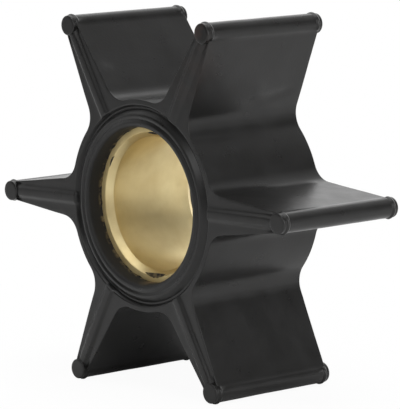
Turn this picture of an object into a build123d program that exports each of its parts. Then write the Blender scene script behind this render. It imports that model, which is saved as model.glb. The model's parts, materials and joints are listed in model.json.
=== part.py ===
from build123d import *
import math
import os

# Rubber pump impeller: six straight vanes moulded with their hub round a brass sleeve.
# Sizes are in millimetres. The axis runs along Y, the front face looks towards -Y and +Z is up.
# The origin is the middle of the bore, and the impeller stands on the tips of its two lower vanes.
# Both end faces are alike. A recess is how far a face lies below the ends of the tip beads.

# Overall
width = 23.4
vane_count = 6

# Brass sleeve
bore_radius = 10.3
sleeve_wall = 1.7
sleeve_recess = 3.0
lead_in_depth = 0.75
lead_in_length = 1.1

# Rubber face round the sleeve, from the funnel outwards
funnel_flare = 0.05
lip_width = 0.79
lip_recess = 0.31
lip_round = 0.5
lip_slope_width = 0.44
crease_recess = 0.58
crease_round = 0.12
ring_slope_width = 0.32
ring_width = 0.4
ring_recess = 0.42
ring_inner_round = 0.35
ring_outer_round = 0.5
ring_flank_width = 0.8
groove_floor_width = 0.28
groove_recess = 1.2
groove_round = 0.12
groove_wall_width = 0.37
land_width = 0.8

# Vanes
shoulder_recess = 0.63
vane_reach = 14.75
vane_root_thickness = 6.3
vane_tip_thickness = 2.86
root_fillet = 3.6
end_edge_bevel = 0.18

# Tip beads, and the low ridge that runs round each bead near its ends
bead_proud = 0.13
bead_edge_bevel = 0.18
ridge_inset = 0.95
ridge_proud = 0.2
ridge_width = 0.7
ridge_bevel = 0.15

# Rib along the middle of each vane's end face
rib_width = 2.0
rib_top_width = 1.2
rib_height = 0.42
rib_round = 0.15

# Places that follow from the sizes
sleeve_radius = bore_radius + sleeve_wall
mouth_radius = sleeve_radius + funnel_flare
lip_edge_radius = mouth_radius + lip_width
crease_radius = lip_edge_radius + lip_slope_width
ring_start_radius = crease_radius + ring_slope_width
ring_end_radius = ring_start_radius + ring_width
groove_start_radius = ring_end_radius + ring_flank_width
groove_end_radius = groove_start_radius + groove_floor_width
land_edge_radius = groove_end_radius + groove_wall_width
hub_radius = land_edge_radius + land_width
tip_radius = hub_radius + vane_reach
bead_radius = vane_tip_thickness / 2 + bead_proud
half_width = width / 2
shoulder_height = half_width - shoulder_recess
sleeve_half_length = half_width - sleeve_recess

# Everything is drawn with the axis along Z and its front face up, then laid along Y by this turn.
axis_along_y = Rot(X=90)


def vane_outline():
    """One vane seen along the axis: straight flanks that taper from the hub to the bead's centre."""
    taper = (vane_root_thickness - vane_tip_thickness) / 2 / vane_reach
    half_at_axis = vane_root_thickness / 2 + taper * hub_radius
    half_at_tip = vane_tip_thickness / 2
    corners = [(0, -half_at_axis), (tip_radius, -half_at_tip), (tip_radius, half_at_tip), (0, half_at_axis)]
    return Polygon(*corners, align=None)


def hub_and_vanes():
    """The hub and its vanes as one section with filleted roots, as thick as the vanes' end faces are apart."""
    section = Circle(hub_radius)
    section += [place * vane_outline() for place in PolarLocations(0, vane_count)]
    middle_radius = hub_radius + vane_reach / 2
    roots = [corner for corner in section.vertices() if Vector(corner).length < middle_radius]
    section = fillet(roots, root_fillet)
    block = extrude(section, shoulder_height, both=True)
    end_edges = block.edges().group_by(Axis.Z)[0] + block.edges().group_by(Axis.Z)[-1]
    return chamfer(end_edges, end_edge_bevel)


def tip_bead():
    """The round bead on a vane's tip. Its ends stand past the vane, and a low ridge circles it near each end."""
    bead = Cylinder(bead_radius, width)
    bead = chamfer(bead.edges().filter_by(GeomType.CIRCLE), bead_edge_bevel)
    ridge = Cylinder(bead_radius + ridge_proud, ridge_width)
    ridge = chamfer(ridge.edges().filter_by(GeomType.CIRCLE), ridge_bevel)
    ridge_height = half_width - ridge_inset
    return bead + Pos(Z=ridge_height) * ridge + Pos(Z=-ridge_height) * ridge


def end_rib():
    """The rib on a vane's front end face: a flat top whose rounded sides run out into the face beside it."""
    half_rib = rib_width / 2
    half_top = rib_top_width / 2
    half_foot = half_rib + rib_round
    corners = [(half_foot, 0), (half_rib, 0), (half_top, rib_height)]
    corners += [(-half_top, rib_height), (-half_rib, 0), (-half_foot, 0)]
    crest = FilletPolyline(*corners, radius=rib_round)
    base = Polyline((-half_foot, 0), (-half_foot, -shoulder_height), (half_foot, -shoulder_height), (half_foot, 0))
    outline = make_face([crest, base])
    start = Plane(origin=(groove_start_radius, 0, shoulder_height), x_dir=(0, 1, 0), z_dir=(1, 0, 0))
    return extrude(start * outline, tip_radius - groove_start_radius)


def face_profile():
    """Half of the front face in section, from the sleeve out over funnel, lip, crease, ring and groove."""
    corners = [
        (sleeve_radius, sleeve_recess),
        (mouth_radius, lip_recess),
        (lip_edge_radius, lip_recess),
        (crease_radius, crease_recess),
        (ring_start_radius, ring_recess),
        (ring_end_radius, ring_recess),
        (groove_start_radius, groove_recess),
        (groove_end_radius, groove_recess),
        (land_edge_radius, shoulder_recess),
    ]
    rounds = [
        lip_round,
        crease_round,
        crease_round,
        ring_inner_round,
        ring_outer_round,
        groove_round,
        groove_round,
    ]
    return FilletPolyline(*[(radius, half_width - recess) for radius, recess in corners], radius=rounds)


def face_cut():
    """The space in front of the hub's front face, which leaves the ring and lip standing."""
    profile = face_profile()
    outside = Polyline(profile @ 1, (land_edge_radius, width), (0, width), (0, (profile @ 0).Y), profile @ 0)
    half_section = make_face([profile, outside])
    return revolve(Plane.XZ * half_section, Axis.Z)


def rubber_body():
    """The whole rubber moulding."""
    body = hub_and_vanes()
    ring_block = Cylinder(groove_start_radius, width - 2 * lip_recess)
    ribs = [place * end_rib() for place in PolarLocations(0, vane_count)]
    back_ribs = [mirror(rib, Plane.XY) for rib in ribs]
    beads = [place * tip_bead() for place in PolarLocations(tip_radius, vane_count)]
    body += [ring_block] + ribs + back_ribs + beads
    front_cut = face_cut()
    body -= [front_cut, mirror(front_cut, Plane.XY), Cylinder(sleeve_radius, width)]
    return body


def brass_sleeve():
    """The turned sleeve, with a lead-in chamfer at both ends of its bore."""
    half_bore = sleeve_half_length - lead_in_length
    mouth = bore_radius + lead_in_depth
    corners = [
        (bore_radius, -half_bore),
        (bore_radius, half_bore),
        (mouth, sleeve_half_length),
        (sleeve_radius, sleeve_half_length),
        (sleeve_radius, -sleeve_half_length),
        (mouth, -sleeve_half_length),
    ]
    return revolve(Plane.XZ * Polygon(*corners, align=None), Axis.Z)


os.makedirs("parts", exist_ok=True)
export_step(axis_along_y * rubber_body(), "parts/rubber_body.step")
export_step(axis_along_y * brass_sleeve(), "parts/brass_sleeve.step")
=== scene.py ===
import json
import math

import bmesh
import bpy
import numpy as np
from mathutils import Matrix, Vector, noise


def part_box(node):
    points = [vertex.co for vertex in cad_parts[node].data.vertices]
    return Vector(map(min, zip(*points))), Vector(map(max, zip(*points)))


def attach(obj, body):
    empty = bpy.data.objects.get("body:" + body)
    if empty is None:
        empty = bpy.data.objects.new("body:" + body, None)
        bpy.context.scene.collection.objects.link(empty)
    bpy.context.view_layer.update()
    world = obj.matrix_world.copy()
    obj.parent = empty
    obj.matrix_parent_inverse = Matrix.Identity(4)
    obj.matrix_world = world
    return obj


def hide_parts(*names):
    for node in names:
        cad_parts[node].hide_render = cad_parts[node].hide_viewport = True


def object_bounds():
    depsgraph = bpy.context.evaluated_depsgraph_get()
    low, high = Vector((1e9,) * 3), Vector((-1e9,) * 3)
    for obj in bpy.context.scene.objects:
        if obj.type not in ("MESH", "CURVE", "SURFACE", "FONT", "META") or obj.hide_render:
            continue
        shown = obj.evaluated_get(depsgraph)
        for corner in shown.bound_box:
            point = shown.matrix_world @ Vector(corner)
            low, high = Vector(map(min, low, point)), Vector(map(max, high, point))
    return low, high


# Looks of the rubber pump impeller: a moulded rubber body with six vanes, round a turned brass sleeve.
# Shapes are drawn in millimetres and turned into the frame's metres when they are placed.
# On one vane, u runs outwards along its middle, v across it, and h along the impeller's axis to the front.
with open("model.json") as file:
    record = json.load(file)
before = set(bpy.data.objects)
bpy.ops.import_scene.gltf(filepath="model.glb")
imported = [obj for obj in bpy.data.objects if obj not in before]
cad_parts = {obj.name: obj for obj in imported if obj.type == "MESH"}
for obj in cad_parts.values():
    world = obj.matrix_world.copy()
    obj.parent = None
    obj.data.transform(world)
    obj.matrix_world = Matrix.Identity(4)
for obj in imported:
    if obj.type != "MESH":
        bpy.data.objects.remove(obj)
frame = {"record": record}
cad_low, cad_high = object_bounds()
scene = bpy.context.scene

MM = 0.001

# Sizes that the frame gives
rubber_low, rubber_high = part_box("rubber_body")
_, sleeve_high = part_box("brass_sleeve")
half_width = rubber_high.y / MM
sleeve_half_length = sleeve_high.y / MM
sleeve_radius = sleeve_high.x / MM
bore_radius = frame["record"]["mounts"][0]["dims"]["r_mm"]

# Hub and vanes
vane_count = 6
hub_radius = 16.25
vane_root_thickness = 6.3
vane_tip_thickness = 2.86
root_fillet = 3.6
shoulder_recess = 0.63
end_edge_round = 0.11

# Tip beads, and the low ridge that runs round each bead near its end
bead_radius = 1.56
bead_edge_round = 0.2
ridge_proud = 0.2
ridge_inset = 0.95
ridge_width = 0.8
ridge_fade = math.radians(28)

# Ribs
rib_half_width = 1.2
rib_half_top = 0.4
rib_height = 0.42
rib_height_at_hub = 0.3

# Dips in the end face beside the rib, against the bead
dip_depth = 0.2
dip_length = 2.6
dip_inner_edge = 0.45

# Face round the sleeve
mouth_radius = 12.05
lip_edge_radius = 12.84
crease_radius = 13.28
ring_edge_radius = 13.6
ring_crest_radius = 14.0
groove_floor_start = 14.8
groove_floor_end = 15.08
land_edge_radius = 15.45
land_round = 0.25
lip_round = 0.5
crease_round = 0.12
ring_inner_round = 0.35
ring_outer_round = 0.5
groove_round = 0.12
lip_recess = 0.31
crease_recess = 0.58
ring_recess = 0.42
groove_recess = 1.2

# Ragged film of moulding flash on the sleeve's ends. Its rim is rounded off to these shares of its size.
flash_thickness = 0.09
flash_least = 0.03
flash_most = 0.3
flash_waves = 9.0
flash_rim_reach = 0.9
flash_rim_height = 0.8

# Loose flakes of that film on the front end: name, middle and half spread in degrees, inner and outer radius
flakes = [
    ("flash_flap", 272, 13, 10.52, 11.25),
    ("flash_sliver_left", 147, 6, 10.92, 11.22),
    ("flash_sliver_top", 87, 6, 10.85, 11.12),
]
flake_thickness = 0.06
flake_raggedness = 0.12
flake_waves = 40

# Sleeve
lead_in_depth = 0.75
lead_in_length = 1.1
lead_in_round = 0.18
sleeve_edge_round = 0.09

# Slight waver of the moulded surface: length and height of its waves. The funnel's foot doesn't waver.
waves = [(7.0, 0.05), (1.8, 0.012)]
steady_radius = sleeve_radius + 0.1

# A shallow crease across a flank of the upper right vane, in the frame's directions
flank_crease_start = Vector((12.1, 0.7, 15.3))
flank_crease_end = Vector((12.7, 8.3, 16.7))
flank_crease_half_width = 0.55
flank_crease_depth = 0.17

# Places that follow from the sizes
tip_radius = rubber_high.x / MM - bead_radius - ridge_proud
vane_reach = tip_radius - hub_radius
shoulder = half_width - shoulder_recess
face_radius = land_edge_radius + land_round
taper = (vane_root_thickness - vane_tip_thickness) / 2 / vane_reach
flank_slant = math.hypot(1, taper)
flank_normal = np.array([taper, 1]) / flank_slant
sector = math.radians(360 / vane_count)
half_at_axis = vane_root_thickness / 2 + taper * hub_radius
fillet_distance = hub_radius + root_fillet
fillet_rise = (half_at_axis + root_fillet * flank_slant) / fillet_distance / flank_slant
fillet_angle = math.asin(fillet_rise) - math.atan(taper)
fillet_centre = fillet_distance * np.array([math.cos(fillet_angle), math.sin(fillet_angle)])

# Steps across the patches of the mesh
hub_steps, fillet_steps, flank_steps = 6, 14, 22
edge_steps, below_ridge_steps, ridge_steps = 5, 9, 7
bead_steps, boss_steps, boss_rim_steps = 12, 6, 4
rib_steps, flat_steps = 10, 3
land_steps, gap_steps = 5, 5
flake_steps, sleeve_steps = 40, 256
disc_rings = (0.72, 0.42, 0)
weld_distance = 0.002


# Lines and arcs

def angle_of(flat):
    """The direction of a flat vector, as an angle."""
    return math.atan2(flat[1], flat[0])


def arc(centre, radius, start, end, steps):
    """Points on an arc from the angle start to the angle end."""
    turn = np.linspace(start, end, steps + 1)
    return np.stack([centre[0] + radius * np.cos(turn), centre[1] + radius * np.sin(turn)], -1)


def straight(start, end, steps):
    """Points on a straight line."""
    share = np.linspace(0, 1, steps + 1)[:, None]
    return (1 - share) * np.array(start) + share * np.array(end)


def divided(start, end, longest):
    """Points on a straight line, about as far apart as longest."""
    return straight(start, end, max(1, round(np.linalg.norm(end - start) / longest)))


def rounded_path(corners, rounds, arc_step=math.radians(15), longest=0.6):
    """Points along a polyline whose inner corners are rounded."""
    corners = [np.array(corner, float) for corner in corners]
    path = [corners[0]]
    for before, corner, after, radius in zip(corners, corners[1:], corners[2:], rounds):
        inward = (corner - before) / np.linalg.norm(corner - before)
        outward = (after - corner) / np.linalg.norm(after - corner)
        turn = math.atan2(inward[0] * outward[1] - inward[1] * outward[0], inward @ outward)
        reach = radius * math.tan(abs(turn) / 2)
        side = np.array([-inward[1], inward[0]]) * math.copysign(1, turn)
        start = corner - inward * reach
        centre = start + side * radius
        first = angle_of(start - centre)
        steps = max(2, round(abs(turn) / arc_step))
        path += list(divided(path[-1], start, longest)[1:])
        path += list(arc(centre, radius, first, first + turn, steps)[1:])
    path += list(divided(path[-1], corners[-1], longest)[1:])
    return np.array(path)


def with_height(flat, height):
    """Adds the height h to points that have u and v."""
    height = np.broadcast_to(np.asarray(height, float)[..., None], flat.shape[:-1] + (1,))
    return np.concatenate([flat, height], -1)


def around(radius, turn, height, middle=0):
    """Points at a radius and an angle round the axis, or round a middle further out on u, and at a height."""
    u, v, h = np.broadcast_arrays(middle + radius * np.cos(turn), radius * np.sin(turn), height)
    return np.stack([u, v, h], -1)


# Shape of half a vane and of half the gap beside it

quarter = np.linspace(0, math.pi / 2, edge_steps + 1)
edge_insets = end_edge_round * (1 - np.cos(quarter))
edge_heights = shoulder - end_edge_round * (1 - np.sin(quarter))
ridge_foot = half_width - ridge_inset - ridge_width / 2
wall_heights = np.concatenate([
    np.linspace(0, ridge_foot, below_ridge_steps + 1)[:-1],
    np.linspace(ridge_foot, shoulder - end_edge_round, ridge_steps + 1)[:-1],
])


def bead_corner(inset):
    """Where the flank, set in by inset, meets the bead's round."""
    offset = vane_tip_thickness / 2 - inset * flank_slant
    root = math.sqrt((taper * offset) ** 2 - flank_slant ** 2 * (offset ** 2 - bead_radius ** 2))
    along = (taper * offset - root) / flank_slant ** 2
    return np.array([tip_radius + along, offset - taper * along])


def bead_angle(inset):
    """The angle of that corner round the bead."""
    return angle_of(bead_corner(inset) - np.array([tip_radius, 0]))


def outline(inset):
    """The outline from the middle of the gap over hub, root fillet and flank to the bead, set in by inset."""
    hub = arc((0, 0), hub_radius - inset, sector / 2, fillet_angle, hub_steps)
    fillet_end = angle_of(-flank_normal) + 2 * math.pi
    fillet = arc(fillet_centre, root_fillet + inset, fillet_angle + math.pi, fillet_end, fillet_steps)
    flank = straight(fillet[-1], bead_corner(inset), flank_steps)
    return np.concatenate([hub, fillet[1:], flank[1:]])


def rib_rise(along, across):
    """How far the rib stands above the end face. It is a little higher at the tip than at the hub."""
    share = np.clip((np.abs(across) - rib_half_top) / (rib_half_width - rib_half_top), 0, 1)
    outward = np.clip((along - hub_radius) / vane_reach, 0, 1)
    height = rib_height_at_hub + (rib_height - rib_height_at_hub) * outward
    return height * (0.5 + 0.5 * np.cos(math.pi * share))


def dip(along, across):
    """How far the end face sinks beside the rib, next to the bead. It is level again at the flank's edge."""
    nearness = np.clip(1 - (tip_radius - along) / dip_length, 0, 1)
    edge = vane_tip_thickness / 2 + taper * (tip_radius - along) - end_edge_round * flank_slant
    share = np.clip((np.abs(across) - dip_inner_edge) / (edge - dip_inner_edge), 0, 1)
    return dip_depth * np.sin(math.pi / 2 * nearness) * np.sin(math.pi * share)


def end_height(along, across):
    """The height of the vane's end face, with its rib and dips."""
    return shoulder + (rib_rise(along, across) - dip(along, across))


def cap_points(start, end, steps):
    """Points on the end face, from the line start to the line end."""
    share = np.linspace(0, 1, steps + 1)[:, None, None]
    flat = start + share * (end - start)
    return with_height(flat, end_height(flat[..., 0], flat[..., 1]))


def bead_points(turn, height):
    """Points on the bead's wall, which carries a low ridge near its end."""
    from_ridge = np.clip(np.abs(height - (half_width - ridge_inset)) / (ridge_width / 2), 0, 1)
    fade = np.clip((bead_angle(0) - turn) / ridge_fade, 0, 1)
    bump = ridge_proud * (1 - from_ridge ** 2) ** 1.5 * fade * fade * (3 - 2 * fade)
    return around(bead_radius + bump, turn, height, tip_radius)


def across_end_face(half_thickness):
    """How far lines along the end face run from its middle: on the rib's top and side, and on the flat."""
    rib = np.linspace(rib_half_top, rib_half_width, rib_steps)
    flat = np.linspace(rib_half_width, half_thickness, flat_steps + 1)
    return np.concatenate([[0], rib, flat[1:]])


cap_edge = outline(end_edge_round)
root_index = hub_steps + fillet_steps
root_corner = cap_edge[root_index]
across_root = across_end_face(root_corner[1])
across_tip = across_end_face(bead_corner(end_edge_round)[1])
root_line = np.stack([np.full(len(across_root), root_corner[0]), across_root], -1)
gap_angles = np.linspace(sector / 2, math.asin(root_corner[1] / face_radius), root_index + 1)
vane_angles = np.arcsin(across_root / face_radius)


def side_wall():
    """Hub, root fillet and flank, from the middle of the width to the rounded end edge."""
    rows = [with_height(outline(0), height) for height in wall_heights]
    rows += [with_height(outline(inset), height) for inset, height in zip(edge_insets, edge_heights)]
    return np.array(rows)


def bead_wall():
    """The bead's wall outside the vane, up to the end face."""
    turn = np.linspace(0, bead_angle(0), bead_steps + 1)
    heights = np.concatenate([wall_heights, edge_heights])
    return bead_points(turn[None, :], heights[:, None])


def bead_wedge():
    """The sliver of the bead's wall that shows where the vane's end edge rounds away from it."""
    rows = []
    for inset, height in zip(edge_insets, edge_heights):
        turn = np.linspace(bead_angle(0), bead_angle(inset), edge_steps + 1)
        rows.append(bead_points(turn, height))
    return np.array(rows)


def boss():
    """The bead's end, which stands above the vane's end face: wall, rounded edge and end disc."""
    outer = np.linspace(0, bead_angle(0), bead_steps + 1)
    wedge = np.linspace(bead_angle(0), bead_angle(end_edge_round), edge_steps + 1)
    inner = math.pi - np.arcsin(across_tip[::-1] / bead_radius)
    turn = np.concatenate([outer, wedge[1:], inner[1:]])
    outer_foot = np.full(len(outer) + len(wedge) - 1, shoulder)
    inner_foot = end_height(tip_radius + bead_radius * np.cos(inner), across_tip[::-1])
    foot = np.concatenate([outer_foot, inner_foot[1:]])
    top = half_width - bead_edge_round
    share = np.linspace(0, 1, boss_steps + 1)[:, None]
    wall = bead_points(turn[None, :], foot * (1 - share) + top * share)
    rim = []
    for bend in np.linspace(0, math.pi / 2, boss_rim_steps + 1)[1:]:
        radius = bead_radius - bead_edge_round * (1 - math.cos(bend))
        rim.append(around(radius, turn, top + bead_edge_round * math.sin(bend), tip_radius))
    disc_radius = bead_radius - bead_edge_round
    disc = [around(disc_radius * ring, turn, half_width, tip_radius) for ring in disc_rings]
    return np.concatenate([wall, rim, disc])


def vane_cap():
    """The vane's end face from the root's end to the bead."""
    bead_line = np.stack([tip_radius - np.sqrt(bead_radius ** 2 - across_tip ** 2), across_tip], -1)
    return cap_points(root_line, bead_line, flank_steps)


def root_cap():
    """The end face between the land round the groove and the vane."""
    land_line = np.stack([np.sqrt(face_radius ** 2 - across_root ** 2), across_root], -1)
    return cap_points(land_line, root_line, land_steps)


def gap_cap():
    """The land round the groove, beside the vane."""
    land_line = face_radius * np.stack([np.cos(gap_angles), np.sin(gap_angles)], -1)
    return cap_points(land_line, cap_edge[:root_index + 1], gap_steps)


# The face round the sleeve

def face_section():
    """Radius and height from the sleeve over funnel, lip, crease, ring and groove to the land."""
    corners = [
        (sleeve_radius, sleeve_half_length + flash_thickness),
        (mouth_radius, half_width - lip_recess),
        (lip_edge_radius, half_width - lip_recess),
        (crease_radius, half_width - crease_recess),
        (ring_edge_radius, half_width - ring_recess),
        (ring_crest_radius, half_width - ring_recess),
        (groove_floor_start, half_width - groove_recess),
        (groove_floor_end, half_width - groove_recess),
        (land_edge_radius, shoulder),
        (face_radius, shoulder),
    ]
    rounds = [lip_round, crease_round, crease_round, ring_inner_round]
    rounds += [ring_outer_round, groove_round, groove_round, land_round]
    return rounded_path(corners, rounds)


def flash_reach(turn, end):
    """How far the ragged film of flash reaches over the sleeve's end, by the angle round the axis."""
    ragged = [noise.noise(Vector((math.cos(angle), math.sin(angle), end)) * flash_waves) for angle in turn]
    return flash_least + flash_most * np.clip(ragged, 0, 1)


def face_patch(middle, side, end):
    """The face over half a vane's sector, from the middle of the bore outwards."""
    angles = np.concatenate([gap_angles, vane_angles[::-1][1:]])
    turn = middle + side * angles
    reach = flash_reach(turn, end)
    rim_height = sleeve_half_length + flash_thickness * flash_rim_height
    rows = [
        around(sleeve_radius, turn, 0),
        around(sleeve_radius, turn, sleeve_half_length),
        around(sleeve_radius - reach, turn, sleeve_half_length),
        around(sleeve_radius - reach * flash_rim_reach, turn, rim_height),
    ]
    groove_floor = half_width - groove_recess
    for radius, height in face_section():
        on_wall = radius > groove_floor_end
        lift = np.clip((height - groove_floor) / (shoulder - groove_floor), 0, 1) if on_wall else 0
        rib = rib_rise(radius * np.cos(angles), radius * np.sin(angles))
        rows.append(around(radius, turn, height + lift * rib))
    return np.array(rows)


# Meshes

def into_frame(points, end):
    """Lays points with the axis along Z into the frame, where the front face looks towards -Y."""
    return np.stack([points[..., 0], -end * points[..., 2], points[..., 1]], -1) * MM


def turned(points, middle, side):
    """Turns a patch of half a vane to its place round the axis."""
    u, v, h = points[..., 0], side * points[..., 1], points[..., 2]
    c, s = math.cos(middle), math.sin(middle)
    return np.stack([u * c - v * s, u * s + v * c, h], -1)


def welded(name, patches):
    """One closed mesh from grids of points whose borders meet."""
    points, quads, count = [], [], 0
    for patch in patches:
        rows, columns = patch.shape[:2]
        index = count + np.arange(rows * columns).reshape(rows, columns)
        corners = [index[:-1, :-1], index[:-1, 1:], index[1:, 1:], index[1:, :-1]]
        quads.append(np.stack(corners, -1).reshape(-1, 4))
        points.append(patch.reshape(-1, 3))
        count += rows * columns
    mesh = bpy.data.meshes.new(name)
    mesh.from_pydata(np.concatenate(points).tolist(), [], np.concatenate(quads).tolist())
    work = bmesh.new()
    work.from_mesh(mesh)
    bmesh.ops.remove_doubles(work, verts=work.verts, dist=weld_distance * MM)
    bmesh.ops.recalc_face_normals(work, faces=work.faces)
    work.to_mesh(mesh)
    work.free()
    return mesh


def smooth_with_edges(mesh, edge_angle):
    """Smooth shading, with sharp edges where faces meet at more than an angle in degrees."""
    mesh.polygons.foreach_set("use_smooth", np.ones(len(mesh.polygons), bool))
    mesh.set_sharp_from_angle(angle=math.radians(edge_angle))
    mesh.update()


def flank_crease(places):
    """How deep the crease in the flank is at places given in metres, in millimetres."""
    start, run = np.array(flank_crease_start), np.array(flank_crease_end - flank_crease_start)
    offsets = places / MM - start
    share = np.clip(offsets @ run / (run @ run), 0, 1)[:, None]
    distance = np.linalg.norm(offsets - share * run, axis=1)
    return flank_crease_depth * np.exp(-(distance / flank_crease_half_width) ** 2)


def waver(mesh):
    """Moves the surface in and out by noise, and in at the crease, but not out of the rubber's box."""
    count = len(mesh.vertices)
    places = np.empty(count * 3)
    normals = np.empty(count * 3)
    mesh.vertices.foreach_get("co", places)
    mesh.vertex_normals.foreach_get("vector", normals)
    places, normals = places.reshape(-1, 3), normals.reshape(-1, 3)
    shift = np.zeros(count)
    for length, height in waves:
        shift += height * MM * np.array([noise.noise(Vector(place / (length * MM))) for place in places])
    shift -= flank_crease(places) * MM
    shift[np.hypot(places[:, 0], places[:, 2]) < steady_radius * MM] = 0
    moved = np.clip(places + normals * shift[:, None], list(rubber_low), list(rubber_high))
    mesh.vertices.foreach_set("co", moved.ravel())
    mesh.update()


def add_piece(mesh, slot, *nodes):
    """Adds a piece of the object. It moves with the root body, and stands for CAD nodes if any are given."""
    piece = bpy.data.objects.new(mesh.name, mesh)
    scene.collection.objects.link(piece)
    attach(piece, "root")
    if nodes:
        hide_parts(*nodes)
    return piece


def moulded_rubber():
    """Hub, vanes, beads and face in one closed mesh."""
    vane_patches = [side_wall(), bead_wall(), bead_wedge(), boss(), vane_cap(), root_cap(), gap_cap()]
    patches = []
    for vane in range(vane_count):
        for side in (1, -1):
            for end in (1, -1):
                middle = vane * sector
                patches += [into_frame(turned(patch, middle, side), end) for patch in vane_patches]
                patches.append(into_frame(face_patch(middle, side, end), end))
    mesh = welded("moulded_rubber", patches)
    waver(mesh)
    smooth_with_edges(mesh, 26)
    return add_piece(mesh, "rubber", "rubber_body")


def flake(name, middle, spread, inner, outer):
    """A thin flake of rubber film on the sleeve's front end, straight inside and ragged outside."""
    share = np.linspace(-1, 1, flake_steps + 1)
    turn = np.radians(middle + spread * share)
    inner_edge = inner / np.cos(turn - math.radians(middle))
    point_radius = inner / math.cos(math.radians(spread))
    ragged = np.array([noise.noise(Vector((angle * flake_waves, inner, 0))) for angle in turn])
    outer_edge = point_radius + (outer - point_radius + flake_raggedness * ragged) * (1 - share ** 2)
    outer_edge = np.maximum(outer_edge, inner_edge)
    top = sleeve_half_length + flake_thickness * (1 - share ** 2)
    rows = [
        around(inner_edge, turn, sleeve_half_length),
        around(inner_edge, turn, top),
        around(outer_edge, turn, top),
        around(outer_edge, turn, sleeve_half_length),
        around(inner_edge, turn, sleeve_half_length),
    ]
    mesh = welded(name, [into_frame(np.array(rows), 1)])
    return add_piece(mesh, "rubber")


def sleeve_section():
    """Radius and height from the middle of the bore over the lead-in to the sleeve's outside."""
    corners = [
        (bore_radius, 0),
        (bore_radius, sleeve_half_length - lead_in_length),
        (bore_radius + lead_in_depth, sleeve_half_length),
        (sleeve_radius, sleeve_half_length),
        (sleeve_radius, 0),
    ]
    rounds = [lead_in_round, sleeve_edge_round, sleeve_edge_round]
    return rounded_path(corners, rounds, arc_step=math.radians(12), longest=2.0)


def turned_sleeve():
    """The brass sleeve, turned from its section."""
    radii, heights = np.split(sleeve_section(), 2, axis=1)
    half = around(radii, np.linspace(0, 2 * math.pi, sleeve_steps + 1), heights)
    mesh = welded("turned_sleeve", [into_frame(half, 1), into_frame(half, -1)])
    smooth_with_edges(mesh, 30)
    return add_piece(mesh, "brass", "brass_sleeve")


# Materials: colours and finishes

rubber_colours = (0.009, 0.0087, 0.0082, 1), (0.013, 0.0128, 0.0125, 1)
rubber_roughness = (0.27, 0.34)
brass_colours = (0.77, 0.645, 0.355, 1), (0.67, 0.54, 0.28, 1)
brass_roughness = (0.38, 0.45)
dust_colour = (0.2, 0.15, 0.07, 1)

# Rougher places: the funnel, fading out between two radii, and the sleeve's end faces, between two depths
funnel_edge = (12.1, 12.5)
funnel_dulling = 0.42
end_face_start = (0.1, 0.02)
end_face_dulling = 0.25

# Brass dust: it fades out between two radii, and between two heights over the sleeve's end
dust_edge = (12.3, 12.6)
dust_top = (0.05, 0.7)

# Faint smears and stains on the rubber, and a painted highlight along the crease in the upper right vane's
# flank: place in the frame's directions, reach and colour
marks_and_painted_highlight = [
    # Lighter patch along the flank's crease: a painted highlight, not a stain
    ((12.7, 2.7, 16.9), 3.5, (0.024, 0.024, 0.0235, 1)),
    ((-9.2, -9.1, 20.8), 1.6, (0.03, 0.03, 0.03, 1)),
    ((13, -15, 22.5), 9.0, (0.02, 0.0135, 0.0115, 1)),
    ((15.5, -12.3, 26.8), 3.0, (0.04, 0.022, 0.018, 1)),
    ((31, 11.4, 0), 1.8, (0.035, 0.024, 0.018, 1)),
    ((0, -9.2, -12), 2.2, (0.16, 0.11, 0.055, 1)),
]


def new_material(name):
    """An empty node material, with its node tree."""
    material = bpy.data.materials.new(name)
    material.use_nodes = True
    material.node_tree.nodes.clear()
    return material, material.node_tree


def set_socket(tree, socket, value):
    """Links a value from another node to a socket, or sets a constant on it."""
    if isinstance(value, bpy.types.NodeSocket):
        tree.links.new(value, socket)
    else:
        socket.default_value = value


def add_node(tree, kind, values=None, **settings):
    """A shader node, with values for its sockets and its own settings."""
    node = tree.nodes.new(kind)
    for name, value in settings.items():
        setattr(node, name, value)
    for name, value in (values or {}).items():
        set_socket(tree, node.inputs[name], value)
    return node


def number_math(tree, operation, first, second):
    """The result of an operation on two numbers."""
    return add_node(tree, "ShaderNodeMath", {0: first, 1: second}, operation=operation).outputs[0]


def vector_length(tree, vector):
    """The length of a vector."""
    return add_node(tree, "ShaderNodeVectorMath", {0: vector}, operation="LENGTH").outputs["Value"]


def remap(tree, value, low, high, to_low, to_high):
    """Stretches a value from one range to another, and clamps it."""
    values = {"Value": value, "From Min": low, "From Max": high, "To Min": to_low, "To Max": to_high}
    return add_node(tree, "ShaderNodeMapRange", values).outputs["Result"]


def noise_value(tree, place, scale, detail):
    """The value of a noise texture at a place."""
    values = {"Vector": place, "Scale": scale, "Detail": detail}
    return add_node(tree, "ShaderNodeTexNoise", values).outputs["Fac"]


def patches_of_noise(tree, place, scale, thresholds, results=(0.0, 1.0), detail=3.0):
    """Goes from one result to the other where a noise texture goes from one threshold to the other."""
    return remap(tree, noise_value(tree, place, scale, detail), *thresholds, *results)


def mix_colour(tree, share, first, second):
    """Mixes two colours."""
    mixed = add_node(tree, "ShaderNodeMix", data_type="RGBA")
    for index, value in ((0, share), (6, first), (7, second)):
        set_socket(tree, mixed.inputs[index], value)
    return mixed.outputs[2]


def object_place(tree):
    """The place on the object."""
    return add_node(tree, "ShaderNodeTexCoord").outputs["Object"]


def near(tree, place, centre, reach):
    """1 at a centre given in millimetres, falling to 0 at a reach round it."""
    values = {0: place, 1: tuple(Vector(centre) * MM)}
    offset = add_node(tree, "ShaderNodeVectorMath", values, operation="SUBTRACT").outputs["Vector"]
    return remap(tree, vector_length(tree, offset), 0.0, reach * MM, 1.0, 0.0)


def distance_in(tree, place, directions):
    """How far a place is from the impeller's middle, measured only in some of the frame's directions."""
    part = add_node(tree, "ShaderNodeVectorMath", {0: place, 1: directions}, operation="MULTIPLY")
    return vector_length(tree, part.outputs["Vector"])


def from_axis(tree, place):
    """The distance of a place from the impeller's axis."""
    return distance_in(tree, place, (1, 0, 1))


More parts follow.
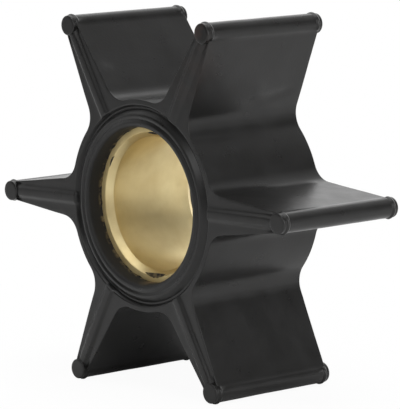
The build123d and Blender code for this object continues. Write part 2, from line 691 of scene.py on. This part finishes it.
def along_axis(tree, place):
    """The distance of a place from the middle of the impeller's width."""
    return distance_in(tree, place, (0, 1, 0))


def brass_dust(tree, place):
    """Where brass dust sticks to the rubber: in specks on the funnel's foot, beside the sleeve's end."""
    inner, outer = dust_edge
    inside = remap(tree, from_axis(tree, place), inner * MM, outer * MM, 1.0, 0.0)
    low, high = [(sleeve_half_length + height) * MM for height in dust_top]
    low_down = remap(tree, along_axis(tree, place), low, high, 1.0, 0.0)
    specks = patches_of_noise(tree, place, scale=1400, thresholds=(0.47, 0.6), results=(0.0, 0.8), detail=4.0)
    return number_math(tree, "MULTIPLY", number_math(tree, "MULTIPLY", inside, low_down), specks)


def marked_and_highlit(tree, place, colour):
    """A colour with the smears and stains, and the painted highlight on the flank's crease, laid over it."""
    blotches = patches_of_noise(tree, place, scale=260, thresholds=(0.42, 0.62), detail=4.0)
    for centre, reach, tint in marks_and_painted_highlight:
        share = number_math(tree, "MULTIPLY", near(tree, place, centre, reach), blotches)
        colour = mix_colour(tree, share, colour, tint)
    return colour


def fine_surface(tree, colour, roughness, relief, strength, depth, others):
    """The material's surface, with a fine relief whose depth is given in millimetres."""
    bump = add_node(tree, "ShaderNodeBump", {"Height": relief, "Strength": strength, "Distance": depth * MM})
    values = {"Base Color": colour, "Roughness": roughness, "Normal": bump.outputs["Normal"], **others}
    surface = add_node(tree, "ShaderNodeBsdfPrincipled", values)
    add_node(tree, "ShaderNodeOutputMaterial", {"Surface": surface.outputs["BSDF"]})


def rubber_material():
    """Moulded black rubber: near black, mottled, with a dull sheen and a fine grain."""
    material, tree = new_material("moulded_black_rubber")
    place = object_place(tree)
    mottle = patches_of_noise(tree, place, scale=180, thresholds=(0.35, 0.65))
    colour = mix_colour(tree, mottle, *rubber_colours)
    colour = marked_and_highlit(tree, place, colour)
    colour = mix_colour(tree, brass_dust(tree, place), colour, dust_colour)
    inner, outer = funnel_edge
    funnel = remap(tree, from_axis(tree, place), inner * MM, outer * MM, funnel_dulling, 0.0)
    moulded = patches_of_noise(tree, place, scale=320, thresholds=(0.3, 0.7), results=rubber_roughness)
    roughness = number_math(tree, "ADD", moulded, funnel)
    grain = noise_value(tree, place, scale=2600, detail=2.0)
    reflection = {"IOR": 1.5, "Specular IOR Level": 0.36}
    fine_surface(tree, colour, roughness, grain, strength=0.25, depth=0.04, others=reflection)
    return material


def brass_material():
    """Turned brass: fine rings from the tool, slightly dulled, and rougher on the sleeve's end faces."""
    material, tree = new_material("turned_brass")
    place = object_place(tree)
    dulling = patches_of_noise(tree, place, scale=260, thresholds=(0.35, 0.7), detail=4.0)
    colour = mix_colour(tree, dulling, *brass_colours)
    start, end = [(sleeve_half_length - depth) * MM for depth in end_face_start]
    end_face = remap(tree, along_axis(tree, place), start, end, 0.0, end_face_dulling)
    wall = patches_of_noise(tree, place, scale=420, thresholds=(0.3, 0.7), results=brass_roughness)
    roughness = number_math(tree, "ADD", wall, end_face)
    stretch = add_node(tree, "ShaderNodeMapping", {"Vector": place, "Scale": (40, 9000, 40)})
    rings = noise_value(tree, stretch.outputs["Vector"], scale=1.0, detail=2.0)
    fine_surface(tree, colour, roughness, rings, strength=0.3, depth=0.01, others={"Metallic": 1.0})
    return material


# Studio: lengths in metres, but the camera's in millimetres

# The photograph's camera: azimuth, elevation and roll in degrees, and its distance, shifted right and upwards
photo_view = (48.604, 7.436, -1.403)
camera_lens = 279.7
camera_distance = 489.0
camera_right, camera_above = 0.794, -0.911

# The white backdrop as reflections see it: its strength, and the cosine to the view where that is reached
backdrop_glow = 0.25
backdrop_full = 0.3

# The floor as the camera sees it: its white at the object, and the distances where its shadow fades out
floor_reach = 2.0
floor_grey = (0.88, 0.88, 0.88, 1)
floor_white_at_object = 0.95
shadow_fade = (0.04, 0.11)
white = (1, 1, 1, 1)

# Soft lamps: name, direction by azimuth and elevation in degrees, size, and power in watts
lamp_distance = 0.6
lamps = [
    ("top", 0, 89, 0.5, 2.4),
    ("front_high", 48.6, 50, 0.45, 0.43),
    ("right_high", 168.6, 50, 0.45, 0.27),
    ("behind_high", 228.6, 50, 0.45, 0.66),
    ("left_high", 285, 48, 0.4, 0.36),
    ("key", 26, 31, 0.25, 0.47),
    ("front", 3.6, 12, 0.5, 0.37),
    ("right", 93.6, 12, 0.5, 2.2),
    ("far_right", 138.6, 12, 0.5, 0.13),
    ("back", 183.6, 12, 0.5, 0.88),
    ("behind", 213, 12, 0.5, 0.8),
    ("left", 297, 12, 0.3, 0.16),
    ("low_right", 120, 8, 0.16, 0.12),
]


def camera_axes(azimuth, elevation, roll):
    """The camera's right, up and backward directions."""
    a, e, r = math.radians(azimuth), math.radians(elevation), math.radians(roll)
    back = Vector((math.sin(a) * math.cos(e), -math.cos(a) * math.cos(e), math.sin(e)))
    level = Vector((math.cos(a), math.sin(a), 0))
    upright = back.cross(level)
    right = level * math.cos(r) + upright * math.sin(r)
    up = upright * math.cos(r) - level * math.sin(r)
    return right, up, back


def photo_camera():
    """The camera at the photograph's place."""
    right, up, back = camera_axes(*photo_view)
    data = bpy.data.cameras.new("photo_camera")
    data.lens = camera_lens
    data.sensor_width = 36
    data.clip_start = 0.01
    data.clip_end = 50
    camera = bpy.data.objects.new("photo_camera", data)
    camera.matrix_world = Matrix((right, up, back)).transposed().to_4x4()
    camera.location = (camera_distance * back + camera_right * right + camera_above * up) * MM
    scene.collection.objects.link(camera)
    scene.camera = camera


def soft_lamp(name, azimuth, elevation, size, power):
    """A soft square lamp that shines on the object from a direction."""
    back = camera_axes(azimuth, elevation, 0)[2]
    data = bpy.data.lights.new(name, "AREA")
    data.size = size
    data.energy = power
    lamp = bpy.data.objects.new(name, data)
    lamp.location = back * lamp_distance
    lamp.rotation_mode = "QUATERNION"
    lamp.rotation_quaternion = back.to_track_quat("Z", "Y")
    scene.collection.objects.link(lamp)


def is_ray(tree, *kinds):
    """1 for rays of the kinds given, and 0 for all others."""
    path = add_node(tree, "ShaderNodeLightPath")
    found = path.outputs[kinds[0]]
    for kind in kinds[1:]:
        found = number_math(tree, "MAXIMUM", found, path.outputs[kind])
    return found


def white_room():
    """A world that is white to the camera and a faint backdrop to reflections, and gives no other light."""
    world = bpy.data.worlds.new("white_room")
    scene.world = world
    world.use_nodes = True
    tree = world.node_tree
    tree.nodes.clear()
    away_from_camera = tuple(-camera_axes(*photo_view)[2])
    direction = add_node(tree, "ShaderNodeTexCoord").outputs["Generated"]
    values = {0: direction, 1: away_from_camera}
    facing = add_node(tree, "ShaderNodeVectorMath", values, operation="DOT_PRODUCT").outputs["Value"]
    backdrop = remap(tree, facing, 0.0, backdrop_full, 0.0, backdrop_glow)
    mirrored = is_ray(tree, "Is Glossy Ray", "Is Transmission Ray")
    glow = number_math(tree, "MULTIPLY", mirrored, backdrop)
    strength = number_math(tree, "MAXIMUM", is_ray(tree, "Is Camera Ray"), glow)
    background = add_node(tree, "ShaderNodeBackground", {"Color": white, "Strength": strength})
    add_node(tree, "ShaderNodeOutputWorld", {"Surface": background.outputs[0]})


def floor_material():
    """Pale floor that is white to the camera and keeps a faint shadow, which fades with the distance."""
    material, tree = new_material("pale_floor")
    distance = vector_length(tree, object_place(tree))
    whiteness = remap(tree, distance, *shadow_fade, floor_white_at_object, 1.0)
    share = number_math(tree, "MULTIPLY", is_ray(tree, "Is Camera Ray"), whiteness)
    pale = add_node(tree, "ShaderNodeBsdfDiffuse", {"Color": floor_grey})
    glowing = add_node(tree, "ShaderNodeEmission", {"Color": white, "Strength": 1.0})
    mixed = add_node(tree, "ShaderNodeMixShader", {0: share, 1: pale.outputs[0], 2: glowing.outputs[0]})
    add_node(tree, "ShaderNodeOutputMaterial", {"Surface": mixed.outputs[0]})
    return material


def floor():
    """A wide level floor that the two lower vanes stand on."""
    corners = ((-1, -1), (1, -1), (1, 1), (-1, 1))
    mesh = bpy.data.meshes.new("floor")
    points = [(x * floor_reach, y * floor_reach, cad_low.z) for x, y in corners]
    mesh.from_pydata(points, [], [(0, 1, 2, 3)])
    mesh.materials.append(floor_material())
    plane = bpy.data.objects.new("floor", mesh)
    scene.collection.objects.link(plane)


def studio():
    """Floor, background and soft lamps."""
    white_room()
    floor()
    for lamp in lamps:
        soft_lamp(*lamp)
    scene.view_settings.view_transform = "Standard"


black_rubber = rubber_material()
moulded_rubber().data.materials.append(black_rubber)
for flake_sizes in flakes:
    flake(*flake_sizes).data.materials.append(black_rubber)
turned_sleeve().data.materials.append(brass_material())
photo_camera()
studio()
